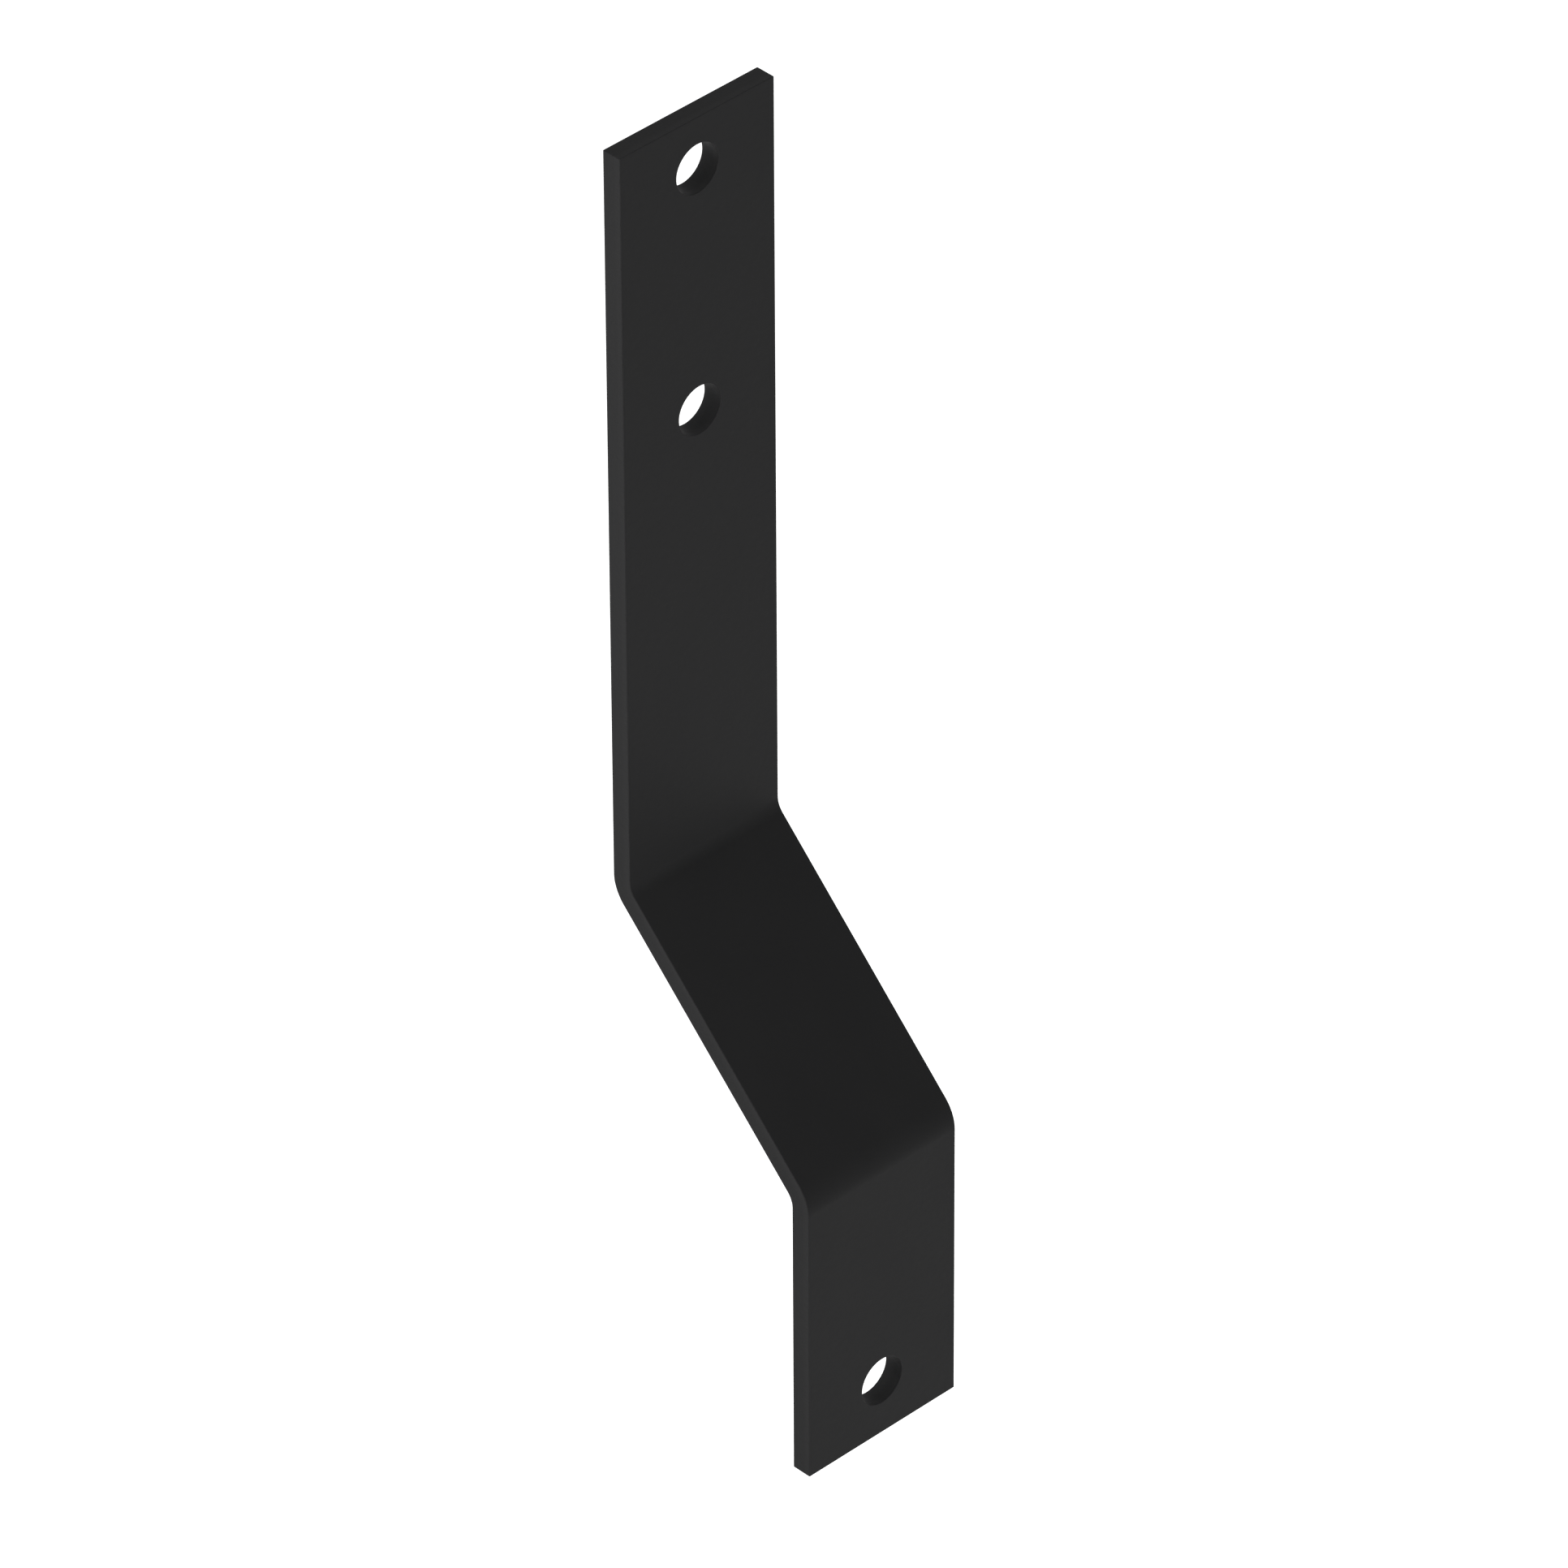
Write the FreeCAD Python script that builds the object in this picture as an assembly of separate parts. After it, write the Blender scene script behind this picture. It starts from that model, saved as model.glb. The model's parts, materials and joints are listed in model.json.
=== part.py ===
import FreeCAD, Part
import math
import os

# Heater hose bracket: one strip of steel sheet, folded twice by the same angle in opposite
# directions, so that the clip flange stands off parallel to the foot flange (a joggle).
# One bolt through the foot holds the bracket, and a hose clip is screwed to each upper hole.
#
# Millimetres. +Z runs up the strip, +X across its width, and +Y away from the foot's seat.
# The origin is the centre of the foot hole, on the face of the foot flange that seats.

# Sheet
strip_width = 26.5
sheet_thickness = 3.0
edge_break = 0.1            # sheared and punched edges, rounded by tumbling before coating

# Folds
bend_angle = 45.0
inside_bend_radius = 3.0    # equal to the thickness, the usual tool for mild steel
offset = 32.6               # seat of the foot to the same face of the clip flange

# Heights, measured along Z
overall_height = 190.5
clip_flange_height = 112.5  # top end to the point where the flange and the slope would meet

# Holes, all on the strip's centre line
hole_diameter = 7.2         # clearance for a 6 mm or quarter-inch bolt
foot_hole_margin = 8.6      # hole centre to the bottom end
top_hole_margin = 7.6       # hole centre to the top end
clip_hole_pitch = 36.4

# Places worked out from the driving dimensions
bottom_z = -foot_hole_margin
top_z = bottom_z + overall_height
upper_corner_z = top_z - clip_flange_height
lower_corner_z = upper_corner_z - offset / math.tan(math.radians(bend_angle))
outside_bend_radius = inside_bend_radius + sheet_thickness
upper_hole_z = top_z - top_hole_margin
lower_hole_z = upper_hole_z - clip_hole_pitch

punch_overrun = 1.0         # how far the punch reaches past each face of the sheet
same_place = 0.01           # two places closer than this are one


def side_point(y, z):
    """A point of the side view, drawn on the strip's left edge."""
    return FreeCAD.Vector(-strip_width / 2, y, z)


def folded_line(corners, radii):
    """Edges of one face seen from the side: straight runs, with a tangent arc at each inner corner."""
    edges = []
    start = corners[0]
    for corner, following, radius in zip(corners[1:], corners[2:], radii):
        arriving = (corner - start).normalize()
        leaving = (following - corner).normalize()
        half_turn = arriving.getAngle(leaving) / 2
        setback = radius * math.tan(half_turn)
        arc_start = corner - arriving * setback
        arc_end = corner + leaving * setback
        inward = (leaving - arriving).normalize()
        arc_middle = corner + inward * (radius / math.cos(half_turn) - radius)
        edges.append(Part.LineSegment(start, arc_start).toShape())
        edges.append(Part.Arc(arc_start, arc_middle, arc_end).toShape())
        start = arc_end
    edges.append(Part.LineSegment(start, corners[-1]).toShape())
    return edges


def face_corners(depth):
    """Corners of the face that lies the given depth behind the seat side, before the folds are rounded.

    A face that lies deeper meets its neighbour lower down, by the depth times the tangent of
    half the bend angle.
    """
    drop = depth * math.tan(math.radians(bend_angle) / 2)
    return [
        side_point(depth, bottom_z),
        side_point(depth, lower_corner_z - drop),
        side_point(offset + depth, upper_corner_z - drop),
        side_point(offset + depth, top_z),
    ]


def folded_strip():
    """The side view as a closed outline, carried across the width of the strip."""
    seat_corners = face_corners(0.0)
    back_corners = face_corners(sheet_thickness)
    seat_side = folded_line(seat_corners, [outside_bend_radius, inside_bend_radius])
    back_side = folded_line(back_corners, [inside_bend_radius, outside_bend_radius])
    top_end = Part.LineSegment(seat_corners[-1], back_corners[-1]).toShape()
    bottom_end = Part.LineSegment(back_corners[0], seat_corners[0]).toShape()
    outline = Part.Wire(seat_side + [top_end] + back_side[::-1] + [bottom_end])
    return Part.Face(outline).extrude(FreeCAD.Vector(strip_width, 0, 0))


def punch(seat_y, z):
    """A round punch through the flange whose seat side lies at seat_y."""
    start = FreeCAD.Vector(0, seat_y - punch_overrun, z)
    travel = sheet_thickness + 2 * punch_overrun
    return Part.makeCylinder(hole_diameter / 2, travel, start, FreeCAD.Vector(0, 1, 0))


def is_cut_edge(edge):
    """True on the edges that shears and punches leave; the tangent lines of the folds aren't among them."""
    box = edge.BoundBox
    on_side = box.XLength < same_place and abs(abs(box.Center.x) - strip_width / 2) < same_place
    at_end = min(abs(box.Center.z - bottom_z), abs(box.Center.z - top_z)) < same_place
    on_end = box.ZLength < same_place and at_end
    is_circle = isinstance(edge.Curve, Part.Circle)
    on_rim = is_circle and abs(edge.Curve.Radius - hole_diameter / 2) < same_place
    return on_side or on_end or on_rim


def hose_bracket():
    """The finished bracket: folded, punched, and with every cut edge broken."""
    bracket = folded_strip()
    for seat_y, z in [(0.0, 0.0), (offset, lower_hole_z), (offset, upper_hole_z)]:
        bracket = bracket.cut(punch(seat_y, z))
    cut_edges = [edge for edge in bracket.Edges if is_cut_edge(edge)]
    return bracket.makeFillet(edge_break, cut_edges)


os.makedirs("parts", exist_ok=True)
bracket = hose_bracket()
bracket.exportStep("parts/hose_bracket.step")
box = bracket.optimalBoundingBox(False)
print(f"hose_bracket {box.XLength:.2f} x {box.YLength:.2f} x {box.ZLength:.2f} mm, {bracket.Volume:.0f} mm3")
print(f"hole heights 0, {lower_hole_z:.1f} and {upper_hole_z:.1f} mm above the origin")
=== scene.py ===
# %% [markdown]
# # A heater hose bracket
#
# On the real object this is one strip of 3 mm steel. It is cut to length, punched three times,
# folded twice by the same angle in opposite directions, and dipped in satin black. The lower flange
# bolts down, and the long upper flange carries two hose clips.
#
# The exact model is the frame, and nearly every size here is read from it. It could be shown as it
# is, but its mesh is made of long thin triangles, which carry neither a smooth highlight round a
# fold nor a finish that follows the sheet. So this lesson makes the visible strip again as one even
# mesh, in the way the workshop does: first the flat blank, then the folds, then the film of black.

# %% Load the frame
import json
import math

import bmesh
import bpy
import numpy as np
from mathutils import Matrix, Vector


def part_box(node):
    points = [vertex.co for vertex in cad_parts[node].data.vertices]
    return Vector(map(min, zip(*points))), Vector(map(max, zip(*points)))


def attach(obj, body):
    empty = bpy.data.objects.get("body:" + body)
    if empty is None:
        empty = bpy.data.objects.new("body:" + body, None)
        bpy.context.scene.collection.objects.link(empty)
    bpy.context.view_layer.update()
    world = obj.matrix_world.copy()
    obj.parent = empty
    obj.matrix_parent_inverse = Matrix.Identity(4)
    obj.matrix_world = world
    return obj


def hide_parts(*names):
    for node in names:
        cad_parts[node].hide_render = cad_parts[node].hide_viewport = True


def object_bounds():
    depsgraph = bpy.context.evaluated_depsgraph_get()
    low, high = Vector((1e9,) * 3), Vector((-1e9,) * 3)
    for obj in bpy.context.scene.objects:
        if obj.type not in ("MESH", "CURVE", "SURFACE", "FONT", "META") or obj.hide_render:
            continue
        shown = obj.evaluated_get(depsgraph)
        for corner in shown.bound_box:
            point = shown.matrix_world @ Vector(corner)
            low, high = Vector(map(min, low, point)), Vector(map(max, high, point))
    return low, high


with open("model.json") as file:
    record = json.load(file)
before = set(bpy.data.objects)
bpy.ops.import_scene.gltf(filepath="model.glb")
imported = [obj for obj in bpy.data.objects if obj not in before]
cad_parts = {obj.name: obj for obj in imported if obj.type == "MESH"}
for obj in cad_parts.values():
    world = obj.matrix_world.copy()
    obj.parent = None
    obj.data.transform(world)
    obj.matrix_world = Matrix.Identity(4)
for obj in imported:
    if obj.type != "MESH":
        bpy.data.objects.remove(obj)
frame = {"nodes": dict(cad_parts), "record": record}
bpy.context.scene.view_settings.view_transform = "Standard"
cad_low, cad_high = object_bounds()
print("frame size in mm", [round(1000 * side, 2) for side in cad_high - cad_low])

# %% [markdown]
# ## Sizes
#
# A sheet metal drawing needs few numbers: the width and thickness of the strip, the angle and
# inside radius of the folds, how far one flange stands off the other, and the places of the holes.
# Nearly all of them can be read from the frame, so they can't drift apart from it. The thickness
# comes from the holes: a hole's place is the middle of the sheet, and the clip's seat is its face.
# Only the angle, the radius and the place of the folds are driving values of this script.

# %% Read the sheet's sizes
mounts = {mount["name"]: mount for mount in frame["record"]["mounts"]}
low, high = (np.array(corner, float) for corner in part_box("hose_bracket"))
strip_width = high[0] - low[0]
bottom_z = low[2]
top_z = high[2]
sheet = 2 * (mounts["clip_seat"]["pos_m"][1] - mounts["upper_clip_hole"]["pos_m"][1])
stand_off = high[1] - low[1] - sheet
hole_radius = mounts["foot_hole"]["dims"]["r_mm"] / 1000
edge_break = (sheet - mounts["foot_hole"]["dims"]["length_mm"] / 1000) / 2

bend_angle = math.radians(45)
inside_radius = sheet          # equal to the thickness, the usual tool for mild steel
clip_flange_height = 0.1125    # top end to the point where flange and slope would meet

print(f"strip {1000 * strip_width:.2f} mm wide and {1000 * sheet:.2f} mm thick")
print(f"clip flange stood off by {1000 * stand_off:.2f} mm")
print(f"holes of radius {1000 * hole_radius:.2f} mm, edges broken by {1000 * edge_break:.2f} mm")

# %% [markdown]
# ## The flat blank
#
# Before it is folded, the strip is flat. A place on it has three numbers: how far across, how far
# along from the bottom end, and how deep from the middle of the sheet. The middle is taken as the
# line that keeps its length in a fold, so lengths along it are the same flat and folded. In real
# steel that line lies a little nearer the inside, which makes the blank slightly shorter.
#
# The strip has five stretches: the foot, a bend, the slope, a bend back, and the clip flange.
# A straight stretch loses a piece at each fold, which is the radius of its own face times the
# tangent of half the angle.

# %% Stretches of the strip
outside_radius = inside_radius + sheet
middle_radius = inside_radius + sheet / 2
bend_length = middle_radius * bend_angle
half_angle_tangent = math.tan(bend_angle / 2)
upper_corner_z = top_z - clip_flange_height
lower_corner_z = upper_corner_z - stand_off / math.tan(bend_angle)

foot_run = lower_corner_z - outside_radius * half_angle_tangent - bottom_z
slope_run = stand_off / math.sin(bend_angle) - (outside_radius + inside_radius) * half_angle_tangent
clip_run = clip_flange_height - inside_radius * half_angle_tangent
stretch_ends = np.cumsum([foot_run, bend_length, slope_run, bend_length, clip_run])
foot_end, slope_start, slope_end, clip_start, blank_length = stretch_ends
print("stretches end at", (1000 * stretch_ends).round(2), "mm along the blank")

hole_places = [mounts["foot_hole"]["pos_m"][2] - bottom_z]
for name in ("lower_clip_hole", "upper_clip_hole"):
    hole_places.append(blank_length - (top_z - mounts[name]["pos_m"][2]))
print("holes at", (1000 * np.array(hole_places)).round(2), "mm along the blank")

# %% [markdown]
# ## The fold
#
# A fold could be made with a lattice, which stretches the sheet, or with a bend modifier, which
# has to be set up anew for each fold. Here it is one formula for the whole strip: a function that
# takes a flat place and gives the folded one. The same function also turns a direction, which later
# gives every point its exact normal, so a flat flange shades flat up to its very edge.

# %% Fold the blank
def lean(along):
    """How far each bend has turned the strip at a place along it. Each part grows evenly over its
    own bend, by the length along the bend over the middle radius. The strip leans from the upright
    by the first part less the second."""
    first = np.clip((along - foot_end) / middle_radius, 0, bend_angle)
    second = np.clip((along - slope_end) / middle_radius, 0, bend_angle)
    return first, second


def fold_point(flat):
    """Folded place of flat points (across, along, depth).

    The middle line is a sum over the stretches. A straight adds its length times its direction,
    which is (sine, cosine) of the lean. A bend adds the middle radius times the change of
    (minus cosine, sine) of the lean, with its sign turned round where the lean shrinks. The depth
    is then laid off square to the strip, along (cosine, minus sine) of the lean.
    """
    across, along, depth = np.moveaxis(flat, -1, 0)
    first, second = lean(along)
    on_slope = np.clip(along - slope_start, 0, slope_run)
    upright = np.minimum(along, foot_end) + np.maximum(along - clip_start, 0)
    left_over = bend_angle - second
    out = middle_radius * (1 - np.cos(first)) + on_slope * math.sin(bend_angle)
    out += middle_radius * (np.cos(left_over) - math.cos(bend_angle))
    up = middle_radius * np.sin(first) + on_slope * math.cos(bend_angle)
    up += middle_radius * (math.sin(bend_angle) - np.sin(left_over)) + upright
    angle = first - second
    y = low[1] + sheet / 2 + out + depth * np.cos(angle)
    z = bottom_z + up - depth * np.sin(angle)
    return np.stack([across, y, z], axis=-1)


def fold_direction(flat, direction):
    """Folded form of a direction at a flat point: its part along the strip goes to (sine, cosine)
    of the lean, and its part through the sheet to (cosine, minus sine)."""
    first, second = lean(flat[..., 1])
    angle = first - second
    along, depth = direction[..., 1], direction[..., 2]
    y = along * np.sin(angle) + depth * np.cos(angle)
    z = along * np.cos(angle) - depth * np.sin(angle)
    return np.stack([direction[..., 0], y, z], axis=-1)


ends = np.array([[0, 0, 0], [0, blank_length, 0]])
print("middle of the two ends in mm", (1000 * fold_point(ends)).round(3).tolist())

# %% [markdown]
# ## Rows and columns
#
# All surfaces share one set of lines across and along the strip, so that neighbours meet point to
# point and the mesh closes without gaps. Rows are further apart on the flats and close together
# in the bends. Round each hole a rectangle is left out, and its borders are rows too.

# %% Lines of the mesh
column_count = 41
flat_step = 0.0015
steps_per_bend = 14
bend_step = bend_length / steps_per_bend
hole_zone = 0.0065             # half the height of the rectangle left out round a hole
rounding = 1e-6                # room for the rounding of sums where two values are compared

inner_half_width = strip_width / 2 - edge_break
columns = np.linspace(-inner_half_width, inner_half_width, column_count)


def even_steps(start, end, longest):
    """Evenly spaced places from start to just before end, no further apart than longest."""
    count = math.ceil((end - start) / longest - rounding)
    return np.linspace(start, end, count + 1)[:-1]


zone_borders = [place + side * hole_zone for place in hole_places for side in (-1, 1)]
marks = sorted([edge_break, *zone_borders, *stretch_ends[:-1], blank_length - edge_break])
row_parts = []
for start, end in zip(marks, marks[1:]):
    in_bend = start in (foot_end, slope_end)
    row_parts.append(even_steps(start, end, bend_step if in_bend else flat_step))
rows = np.concatenate([*row_parts, [marks[-1]]])
print(len(rows), "rows and", len(columns), "columns")

# %% [markdown]
# ## The two broad faces
#
# Each face is a plain grid of places across and along, at half a sheet's depth. The quads inside
# the rectangles round the holes are left out. A patch here is four arrays: the flat points, their
# flat normals, how much of a cut edge each point is, and the corners of each quad.

# %% Make a grid patch
def grid_patch(points, normals, cut, keep=None):
    """A patch from a grid of points. Its quads join each point to its neighbours in the next
    column and row. A quad is turned round where its own normal, the cross product of its
    diagonals, points against the normals that it should have."""
    height, width = points.shape[:2]
    number = np.arange(height * width).reshape(height, width)
    corners = [number[:-1, :-1], number[:-1, 1:], number[1:, 1:], number[1:, :-1]]
    quads = np.stack(corners, axis=-1)
    if keep is not None:
        quads = quads[keep]
    quads = quads.reshape(-1, 4)
    points = points.reshape(-1, 3)
    normals = np.broadcast_to(normals, (height, width, 3)).reshape(-1, 3)
    cut = np.broadcast_to(cut, (height, width)).reshape(-1)
    # Folding keeps a surface's sides, so the test can be made on the folded points.
    folded = fold_point(points)
    one_diagonal = folded[quads[:, 2]] - folded[quads[:, 0]]
    other_diagonal = folded[quads[:, 3]] - folded[quads[:, 1]]
    wanted = fold_direction(points, normals)[quads].sum(axis=1)
    inward = (np.cross(one_diagonal, other_diagonal) * wanted).sum(axis=1) < 0
    quads[inward] = quads[inward][:, ::-1]
    return points, normals, cut, quads


def broad_face(side):
    """The face on one side of the sheet: side is -1 for the seat and 1 for the back."""
    along, across = np.meshgrid(rows, columns, indexing="ij")
    points = np.stack([across, along, np.full_like(along, side * sheet / 2)], axis=-1)
    middles = (rows[1:] + rows[:-1]) / 2
    near_hole = np.abs(middles[:, None] - np.array(hole_places)).min(axis=1) < hole_zone
    keep = np.repeat(~near_hole[:, None], len(columns) - 1, axis=1)
    return grid_patch(points, np.array([0, 0, side]), 0.0, keep)


patches = [broad_face(side) for side in (-1, 1)]
print("broad faces", [len(patch[3]) for patch in patches], "quads")

# %% [markdown]
# ## Rings round the holes
#
# A round hole in a square grid is the classic hard spot. Cutting it with a boolean leaves slivers
# that catch the light. Instead, each point of the rectangle's border looks at the hole's centre
# and finds its own point on the rim, and straight lines between the two are cut into rings.

# %% Fill the rectangles
ring_count = 5


def hole_border(place):
    """Points of the rectangle round a hole, anticlockwise from its lower left corner and closed."""
    inside = np.abs(rows - place) < hole_zone + rounding
    zone_rows = rows[inside]
    sides = [
        (columns[:-1], zone_rows[0]),
        (columns[-1], zone_rows[:-1]),
        (columns[:0:-1], zone_rows[-1]),
        (columns[0], zone_rows[::-1]),
    ]
    return np.concatenate([np.stack(np.broadcast_arrays(*side), axis=-1) for side in sides])


def hole_rim(place):
    """For each border point, the point of the rim in the same direction from the hole's centre,
    and that direction. The rim lies one edge break outside the hole's wall."""
    centre = np.array([0, place])
    arm = hole_border(place) - centre
    direction = arm / np.linalg.norm(arm, axis=1, keepdims=True)
    return centre + direction * (hole_radius + edge_break), direction


def hole_surround(place, side):
    """Rings from the border, where the share is 0, to the rim, where it is 1. A point is the
    border point plus the share times the way to its rim point."""
    border = hole_border(place)
    rim, _ = hole_rim(place)
    share = np.linspace(0, 1, ring_count + 1)[:, None, None]
    flat = border + (rim - border) * share
    depth = np.full((*flat.shape[:2], 1), side * sheet / 2)
    return grid_patch(np.concatenate([flat, depth], axis=-1), np.array([0, 0, side]), 0.0)


surrounds = [hole_surround(place, side) for place in hole_places for side in (-1, 1)]
patches += surrounds
print("points round each rim", [len(hole_rim(place)[0]) - 1 for place in hole_places])

# %% [markdown]
# ## The cut edges
#
# The shear and the punch leave a wall square to the sheet, and tumbling rounds its two edges a
# little before the dip. A bevel modifier could do this, but it needs every edge picked out and it
# fights with the holes. One profile through the thickness does it for all of them: a quarter
# round, the straight wall, and a quarter round. It is carried round the outline and round each
# hole. At a corner of the outline it stays in place and turns, which makes the corner round too.

# %% Carry the edge profile
round_steps = 5
wall_steps = 2


def edge_profile():
    """Angle and depth of the profile's points. On a quarter round, the depth is that of its
    centre plus the edge break times the sine of the angle, and on the wall the angle is 0."""
    quarter = np.linspace(0, math.pi / 2, round_steps + 1)
    wall = np.linspace(-1, 1, wall_steps + 1)[1:-1]
    half_wall = sheet / 2 - edge_break
    angle = np.concatenate([-quarter[::-1], np.zeros_like(wall), quarter])
    centre = np.concatenate([np.full_like(quarter, -1), wall, np.full_like(quarter, 1)])
    return angle, centre * half_wall + edge_break * np.sin(angle)


def cut_edge(path, direction):
    """The profile carried along a path on the blank. A point stands off the path in the outward
    direction by the edge break times the cosine of its angle, and the normal is that direction
    times the cosine, with the sine as its part through the sheet."""
    angle, depth = (value[:, None, None] for value in edge_profile())
    flat = path + direction * (edge_break * np.cos(angle))
    shape = (*flat.shape[:2], 1)
    points = np.concatenate([flat, np.broadcast_to(depth, shape)], axis=-1)
    upward = np.broadcast_to(np.sin(angle), shape)
    normals = np.concatenate([direction * np.cos(angle), upward], axis=-1)
    return grid_patch(points, normals, np.cos(angle[..., 0]))


def outline():
    """The blank's outline, drawn in by the edge break, with the outward direction at each point.
    The four sides follow each other anticlockwise. Between two sides, the corner point is
    repeated while its direction swings through a quarter turn."""
    sides = [
        (columns, rows[0]),
        (columns[-1], rows),
        (columns[::-1], rows[-1]),
        (columns[0], rows[::-1]),
    ]
    path = []
    bearing = []
    for number, side in enumerate(sides):
        points = np.stack(np.broadcast_arrays(*side), axis=-1)
        start = (number - 1) * math.pi / 2
        swing = np.linspace(start, start + math.pi / 2, round_steps + 1)[1:]
        path += [points, np.repeat(points[-1:], round_steps, axis=0)]
        bearing += [np.full(len(points), start), swing]
    bearing = np.concatenate(bearing)
    return np.concatenate(path), np.stack([np.cos(bearing), np.sin(bearing)], axis=-1)


patches.append(cut_edge(*outline()))
for place in hole_places:
    rim, direction = hole_rim(place)
    patches.append(cut_edge(rim, -direction))
print("cut edges", [len(patch[3]) for patch in patches[-4:]], "quads")

# %% [markdown]
# ## One closed mesh
#
# The patches are folded, put into one mesh and merged where they meet. Two helpers stay on the
# points: `blank`, the place before folding, lets the finish follow the sheet round the bends, and
# `cut` says where the shear and the punch have been. The normals come from the formulas, not from
# the average of the faces, so the flats stay flat and the bends and edges roll smoothly. Two checks
# show that the mesh is sound: it has no open edge, and its volume is that of the exact model.

# %% Join the patches
same_point = 1e-6
mm3_in_a_cubic_metre = 1e9


def volume_of(mesh):
    """Volume in mm3 inside a mesh whose faces point outwards, and its count of open edges."""
    work = bmesh.new()
    work.from_mesh(mesh)
    bmesh.ops.remove_doubles(work, verts=work.verts, dist=same_point)
    volume = work.calc_volume(signed=True) * mm3_in_a_cubic_metre
    open_edges = sum(edge.is_boundary for edge in work.edges)
    work.free()
    return volume, open_edges


def bracket_mesh():
    """The folded patches as one mesh, with its helpers and its exact normals."""
    starts = np.cumsum([0] + [len(patch[0]) for patch in patches[:-1]])
    flat = np.concatenate([patch[0] for patch in patches])
    flat_normals = np.concatenate([patch[1] for patch in patches])
    cut = np.concatenate([patch[2] for patch in patches])
    quads = np.concatenate([patch[3] + start for patch, start in zip(patches, starts)])
    used, quads = np.unique(quads, return_inverse=True)
    flat, flat_normals, cut = flat[used], flat_normals[used], cut[used]

    mesh = bpy.data.meshes.new("bracket_strip")
    mesh.from_pydata(fold_point(flat).tolist(), [], quads.reshape(-1, 4).tolist())
    blank = mesh.attributes.new("blank", "FLOAT_VECTOR", "POINT")
    blank.data.foreach_set("vector", flat.ravel())
    exact = mesh.attributes.new("exact_normal", "FLOAT_VECTOR", "POINT")
    exact.data.foreach_set("vector", fold_direction(flat, flat_normals).ravel())
    mesh.attributes.new("cut", "FLOAT", "POINT").data.foreach_set("value", cut)

    work = bmesh.new()
    work.from_mesh(mesh)
    bmesh.ops.remove_doubles(work, verts=work.verts, dist=same_point)
    work.to_mesh(mesh)
    work.free()

    normals = np.empty(3 * len(mesh.vertices))
    mesh.attributes["exact_normal"].data.foreach_get("vector", normals)
    mesh.attributes.remove(mesh.attributes["exact_normal"])
    mesh.shade_smooth()
    mesh.normals_split_custom_set_from_vertices(normals.reshape(-1, 3))
    return mesh


bracket = bpy.data.objects.new("bracket_strip", bracket_mesh())
bpy.context.scene.collection.objects.link(bracket)
mesh_volume, open_edges = volume_of(bracket.data)
frame_volume, _ = volume_of(frame["nodes"]["hose_bracket"].data)
print(len(bracket.data.polygons), "faces and", open_edges, "open edges")
print(f"volume {mesh_volume:.0f} mm3, against {frame_volume:.0f} mm3 in the frame")

# %% [markdown]
# ## The black film
#
# The bracket is dipped in a satin black. Seen close, such a film isn't one even black. It is a
# little thicker here and thinner there, which shows as a faint mottle in tone and in gloss. As it
# dries it draws up into a very low orange peel, and its matting powder gives it a fine grain. It
# also draws back from the rounded edges, where it is thinnest. Their colour is made paler, partly
# for that thin film and partly as a painted highlight, which lifts the dark line where a rounded
# edge faces the camera.
#
# A picture could hold all this, but it would need a seam and would blur up close. Noise that is
# worked out from the place has neither fault. It reads the place on the flat blank, so the
# pattern goes round the folds as the film does. Sizes and heights are in metres.

# %% Small helpers for nodes
def add_node(tree, kind, inputs=(), **settings):
    """A node with its settings. Each input is a plain value or another node's output."""
    node = tree.nodes.new(kind)
    for name, value in settings.items():
        setattr(node, name, value)
    for name, value in dict(inputs).items():
        if isinstance(value, bpy.types.NodeSocket):
            tree.links.new(value, node.inputs[name])
        else:
            node.inputs[name].default_value = value
    return node


def add_noise(tree, place, size, detail):
    """Noise between 0 and 1 whose lumps are as large as size, which has one length per direction."""
    scale = [1 / length for length in size]
    scaled = add_node(tree, "ShaderNodeMapping", {"Vector": place, "Scale": scale})
    inputs = {"Vector": scaled.outputs["Vector"], "Scale": 1.0, "Detail": detail}
    return add_node(tree, "ShaderNodeTexNoise", inputs).outputs[0]


def add_math(tree, operation, first, second):
    """The result of one sum on two values."""
    return add_node(tree, "ShaderNodeMath", {0: first, 1: second}, operation=operation).outputs[0]


print("helpers ready")

# %% [markdown]
# ### What the tools left
#
# A shear or a punch cuts cleanly only through the first third of a sheet. There it slides along
# the steel and leaves fine lines through the thickness. The rest tears away and is left dull and
# grainy, and the border between the two is wavy. The film covers both but follows them. The depth
# on the blank tells the two zones apart on the ends, the long edges and the holes alike.

# %% Marks of the shear and the punch
tear_start = -0.0006           # depth where the clean cut ends, a third of the way in
tear_wave = 0.0005
wave_size = 0.003
line_size = (0.00028, 0.00028, 0.006)
line_height = 0.000012
torn_size = 0.0004
torn_height = 0.000014


def torn_zone(tree, blank):
    """0 where the edge was cut cleanly and 1 where the steel tore. The depth plus the wave times
    a noise is compared with the depth where tearing starts."""
    depth = add_node(tree, "ShaderNodeSeparateXYZ", {"Vector": blank}).outputs["Z"]
    wave = add_noise(tree, blank, [wave_size] * 3, detail=2.0)
    wavy = add_math(tree, "ADD", depth, add_math(tree, "MULTIPLY", wave, tear_wave))
    inputs = {"Value": wavy, "From Min": tear_start, "From Max": tear_start + tear_wave}
    return add_node(tree, "ShaderNodeMapRange", inputs).outputs["Result"]


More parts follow.
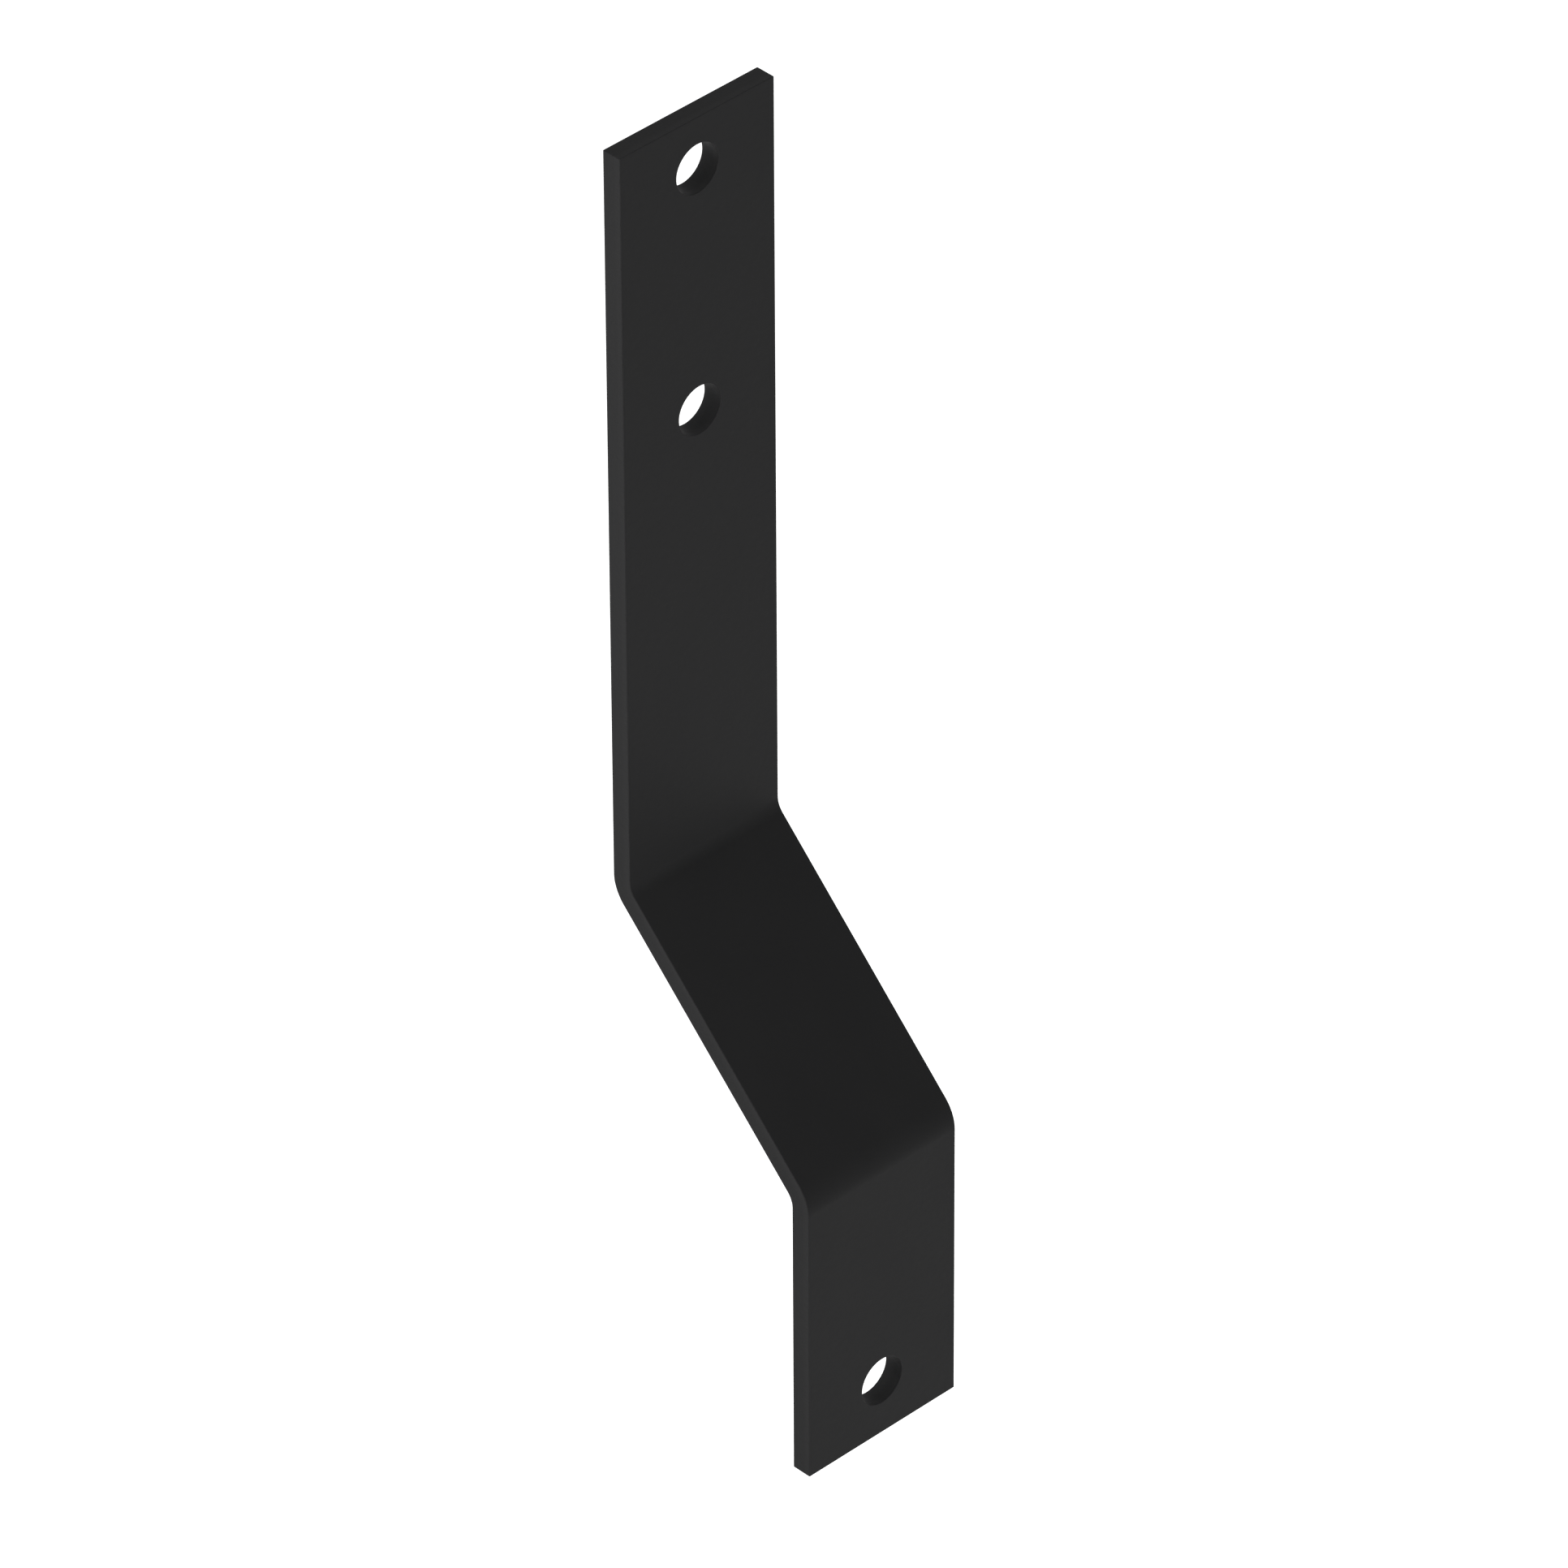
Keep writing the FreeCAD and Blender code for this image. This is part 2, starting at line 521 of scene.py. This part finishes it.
def cut_marks(tree, blank, torn):
    """Height of the marks: lines times the clean zone plus a grain times the torn zone."""
    clean = add_math(tree, "SUBTRACT", 1.0, torn)
    lines = add_noise(tree, blank, line_size, detail=2.0)
    lines = add_math(tree, "MULTIPLY", lines, line_height)
    grain = add_noise(tree, blank, [torn_size] * 3, detail=3.0)
    grain = add_math(tree, "MULTIPLY", grain, torn_height)
    lines = add_math(tree, "MULTIPLY", lines, clean)
    return add_math(tree, "ADD", lines, add_math(tree, "MULTIPLY", grain, torn))


print(f"the steel tears from {1000 * (tear_start + sheet / 2):.1f} mm into the sheet")

# %% The film as a material
mottle_size = (0.011, 0.017, 0.011)    # drawn out along the strip, as the dip drains
mottle_low = 0.35
mottle_high = 0.65
thin_tone = (0.0139, 0.0139, 0.0142, 1)
thick_tone = (0.0129, 0.0129, 0.0132, 1)
# The edge tone is partly the thinner film on the rounded edges and partly a painted highlight, which
# lifts the dark line where a rounded edge faces the camera.
thin_edge_and_highlight_tone = (0.0200, 0.0200, 0.0204, 1)
low_roughness = 0.42
high_roughness = 0.50
torn_dullness = 0.08           # added to the roughness where the steel tore
film_specular = 0.045          # low, and found by trial against the greys of the photo
peel_size = 0.0011
peel_height = 0.000016
grain_size = 0.00022
grain_height = 0.000002


def film_colour(tree, mottle, cut):
    """The two tones by the mottle, and the paler edge tone on the rounded edges, which is partly the
    thinner film there and partly a painted highlight. The helper `cut` is 0 on a broad face and 1
    on a wall, so 4 cut (1 - cut) is 1 halfway round an edge."""
    tone = add_node(tree, "ShaderNodeValToRGB", {"Fac": mottle})
    thick, thin = tone.color_ramp.elements
    thick.position = mottle_low
    thick.color = thick_tone
    thin.position = mottle_high
    thin.color = thin_tone
    rounded = add_math(tree, "MULTIPLY", cut, add_math(tree, "SUBTRACT", 1.0, cut))
    rounded = add_math(tree, "MULTIPLY", rounded, 4.0)
    inputs = {"Factor": rounded, "A": tone.outputs["Color"], "B": thin_edge_and_highlight_tone}
    return add_node(tree, "ShaderNodeMix", inputs, data_type="RGBA").outputs["Result"]


def film_roughness(tree, mottle, dull_zone):
    """Roughness between the low and the high value by the mottle, and duller where torn."""
    inputs = {"Value": mottle, "From Min": mottle_low, "From Max": mottle_high}
    inputs.update({"To Min": low_roughness, "To Max": high_roughness})
    roughness = add_node(tree, "ShaderNodeMapRange", inputs).outputs["Result"]
    return add_math(tree, "ADD", roughness, add_math(tree, "MULTIPLY", dull_zone, torn_dullness))


def film_height(tree, blank, marks):
    """Height of the surface: orange peel plus grain plus the marks of the tools."""
    peel = add_noise(tree, blank, [peel_size] * 3, detail=1.0)
    grain = add_noise(tree, blank, [grain_size] * 3, detail=2.0)
    height = add_math(tree, "MULTIPLY", peel, peel_height)
    height = add_math(tree, "ADD", height, add_math(tree, "MULTIPLY", grain, grain_height))
    return add_math(tree, "ADD", height, marks)


def black_film():
    """Satin black with its colour, roughness and height, all read from the place on the blank."""
    material = bpy.data.materials.new("satin_black_film")
    material.use_nodes = True
    tree = material.node_tree
    tree.nodes.clear()
    blank = add_node(tree, "ShaderNodeAttribute", attribute_name="blank").outputs["Vector"]
    cut = add_node(tree, "ShaderNodeAttribute", attribute_name="cut").outputs["Fac"]
    mottle = add_noise(tree, blank, mottle_size, detail=4.0)
    torn = torn_zone(tree, blank)
    marks = add_math(tree, "MULTIPLY", cut_marks(tree, blank, torn), cut)
    height = film_height(tree, blank, marks)
    bump = add_node(tree, "ShaderNodeBump", {"Height": height, "Distance": 1.0, "Strength": 1.0})
    inputs = {
        "Base Color": film_colour(tree, mottle, cut),
        "Roughness": film_roughness(tree, mottle, add_math(tree, "MULTIPLY", torn, cut)),
        "Normal": bump.outputs["Normal"],
        "Specular IOR Level": film_specular,
    }
    shader = add_node(tree, "ShaderNodeBsdfPrincipled", inputs)
    add_node(tree, "ShaderNodeOutputMaterial", {"Surface": shader.outputs["BSDF"]})
    return material


bracket.data.materials.append(black_film())
print("finish", bracket.data.materials[0].name)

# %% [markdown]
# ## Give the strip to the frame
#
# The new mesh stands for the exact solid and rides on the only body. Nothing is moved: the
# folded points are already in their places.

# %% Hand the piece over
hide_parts("hose_bracket")
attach(bracket, "root")

# %% [markdown]
# ## Floor and background
#
# The bracket doesn't rest on anything: a bolt holds it by its foot. So the pale floor lies well
# below it. Its paint is a true pale diffuse colour, lit by the same lamps, which keeps the shadow.
# What the camera and the reflections see gets a glow on top, which brings it to white without any
# more light on the bracket. Farther out the lamps light it less and the glow grows, so that its
# rim doesn't show against the world. From below, the floor is clear, so that the underside can be
# looked at. The world does the same: white where it is seen, and a dim even light elsewhere.

# %% Lay the floor and light the world
floor_drop = 0.7
floor_half = 3.0
floor_paint = 0.35
floor_glow = 0.9
lit_reach = 0.8                # from here outwards the glow grows
world_light = 0.15


def add_seen(tree):
    """1 for rays from the camera, in a reflection or through glass, and 0 for all other rays."""
    rays = add_node(tree, "ShaderNodeLightPath").outputs
    seen = add_math(tree, "MAXIMUM", rays["Is Camera Ray"], rays["Is Glossy Ray"])
    return add_math(tree, "MAXIMUM", seen, rays["Is Transmission Ray"])


def floor_material():
    """Pale diffuse paint plus a glow for the rays that see it, and clear from behind. The glow
    grows evenly from the lit reach, measured level from the middle, to half the floor's side."""
    material = bpy.data.materials.new("floor_paint")
    material.use_nodes = True
    tree = material.node_tree
    tree.nodes.clear()
    paint = add_node(tree, "ShaderNodeBsdfDiffuse", {"Color": (*[floor_paint] * 3, 1)})
    place = add_node(tree, "ShaderNodeTexCoord").outputs["Object"]
    level = add_node(tree, "ShaderNodeMapping", {"Vector": place, "Scale": (1, 1, 0)})
    reach = add_node(tree, "ShaderNodeVectorMath", {0: level.outputs["Vector"]}, operation="LENGTH")
    inputs = {"Value": reach.outputs["Value"], "From Min": lit_reach, "From Max": floor_half}
    inputs["To Min"] = floor_glow
    growth = add_node(tree, "ShaderNodeMapRange", inputs).outputs["Result"]
    strength = add_math(tree, "MULTIPLY", add_seen(tree), growth)
    glow = add_node(tree, "ShaderNodeEmission", {"Strength": strength})
    both = add_node(tree, "ShaderNodeAddShader", {0: paint.outputs[0], 1: glow.outputs[0]})
    behind = add_node(tree, "ShaderNodeNewGeometry").outputs["Backfacing"]
    clear = add_node(tree, "ShaderNodeBsdfTransparent")
    inputs = {0: behind, 1: both.outputs[0], 2: clear.outputs[0]}
    result = add_node(tree, "ShaderNodeMixShader", inputs)
    add_node(tree, "ShaderNodeOutputMaterial", {"Surface": result.outputs[0]})
    return material


floor_z = bottom_z - floor_drop
corner_signs = ((-1, -1), (1, -1), (1, 1), (-1, 1))
corners = [(x * floor_half, y * floor_half, floor_z) for x, y in corner_signs]
floor_mesh = bpy.data.meshes.new("floor")
floor_mesh.from_pydata(corners, [], [(0, 1, 2, 3)])
floor_mesh.materials.append(floor_material())
floor = bpy.data.objects.new("floor", floor_mesh)
bpy.context.scene.collection.objects.link(floor)

world = bpy.data.worlds.new("studio")
world.use_nodes = True
tree = world.node_tree
tree.nodes.clear()
seen = add_seen(tree)
even = add_node(tree, "ShaderNodeBackground", {"Color": (1, 1, 1, 1), "Strength": world_light})
white = add_node(tree, "ShaderNodeBackground", {"Color": (1, 1, 1, 1), "Strength": 1.0})
result = add_node(tree, "ShaderNodeMixShader", {0: seen, 1: even.outputs[0], 2: white.outputs[0]})
add_node(tree, "ShaderNodeOutputWorld", {"Surface": result.outputs[0]})
bpy.context.scene.world = world
print(f"floor {1000 * floor_drop:.0f} mm below the foot's end")

# %% [markdown]
# ## Lamps
#
# The photo shows soft light with no highlight. The left edge of the strip is its lightest surface
# and fades downwards, so a small lamp stands close on the left, a little high. A large one low in
# front lights both flanges but leaves the slope, which faces up, a shade darker. One above and
# behind reaches the top end without touching the slope. The right edge and the back, which the
# photo doesn't show, get lamps of the same kind, so that they look alike.
#
# Each lamp is given by how bright its surface is, where 1 is white paper. None is seen in a
# reflection. A face seen almost edge-on mirrors even where the film is satin, and a soft box in
# it would turn the black edge pale. It mirrors the white floor and world instead.

# %% Hang the lamps
aim = (cad_low + cad_high) / 2


def back_direction(azimuth, elevation):
    """Direction from the object to an onlooker: azimuth 0 looks along +Y and 90 along -X, and the
    elevation is above the horizon. It is (sine, minus cosine) of the azimuth times the cosine of
    the elevation, and the elevation's sine upwards."""
    around, above = math.radians(azimuth), math.radians(elevation)
    return Vector(
        (math.sin(around) * math.cos(above), -math.cos(around) * math.cos(above), math.sin(above))
    )


def soft_lamp(name, azimuth, elevation, distance, size, brightness):
    """A square soft box that looks at the bracket. Its power is its brightness times its area
    times pi, since a matt surface of that brightness sends out so much."""
    data = bpy.data.lights.new(name, "AREA")
    data.size = size
    data.energy = brightness * size**2 * math.pi
    lamp = bpy.data.objects.new(name, data)
    direction = back_direction(azimuth, elevation)
    lamp.location = aim + direction * distance
    lamp.rotation_mode = "QUATERNION"
    lamp.rotation_quaternion = (-direction).to_track_quat("-Z", "Y")
    lamp.visible_camera = False
    lamp.visible_glossy = False
    bpy.context.scene.collection.objects.link(lamp)
    print(f"{name} lamp: brightness {brightness:.2f}, power {data.energy:.2f} W")


soft_lamp("left", -98, 12, 0.32, 0.24, 8.6)
soft_lamp("front", -3, -8, 1.3, 1.1, 3.8)
soft_lamp("right", 100, 2, 1.3, 0.9, 8.0)
soft_lamp("back", 180, 4, 1.5, 1.1, 5.2)
soft_lamp("back_above", 180, 50, 1.4, 0.8, 5.6)

# %% [markdown]
# ## Camera
#
# The photo was taken with a very long lens, from the left and above, and the bracket's own edges
# tell from where: their directions and slight drawing together were matched until the outline
# of a sharp-edged strip fell within about a quarter of a pixel of the photo's. The camera looks at
# the middle of the box, from so far that the strip fills the height of the picture, and is turned
# a fraction of a degree about its axis.

# %% Set up the camera
view_azimuth = -44.01
view_elevation = 36.48
view_roll = math.radians(-0.31)
view_distance = 1.6927
aim_above_middle = 0.00052     # how far above the box's middle the picture's centre lies

data = bpy.data.cameras.new("photo")
data.lens = 305.6
data.sensor_width = 36
data.clip_start = 0.1
data.clip_end = 20
camera = bpy.data.objects.new("photo", data)
back = back_direction(view_azimuth, view_elevation)
level = Vector((math.cos(math.radians(view_azimuth)), math.sin(math.radians(view_azimuth)), 0))
raised = back.cross(level)
right = level * math.cos(view_roll) + raised * math.sin(view_roll)
up = raised * math.cos(view_roll) - level * math.sin(view_roll)
turned = Matrix((right, up, back)).transposed().to_4x4()
camera.matrix_world = Matrix.Translation(aim + up * aim_above_middle + back * view_distance) @ turned
bpy.context.scene.collection.objects.link(camera)
bpy.context.scene.camera = camera
print("camera at", [round(value, 4) for value in camera.matrix_world.translation])
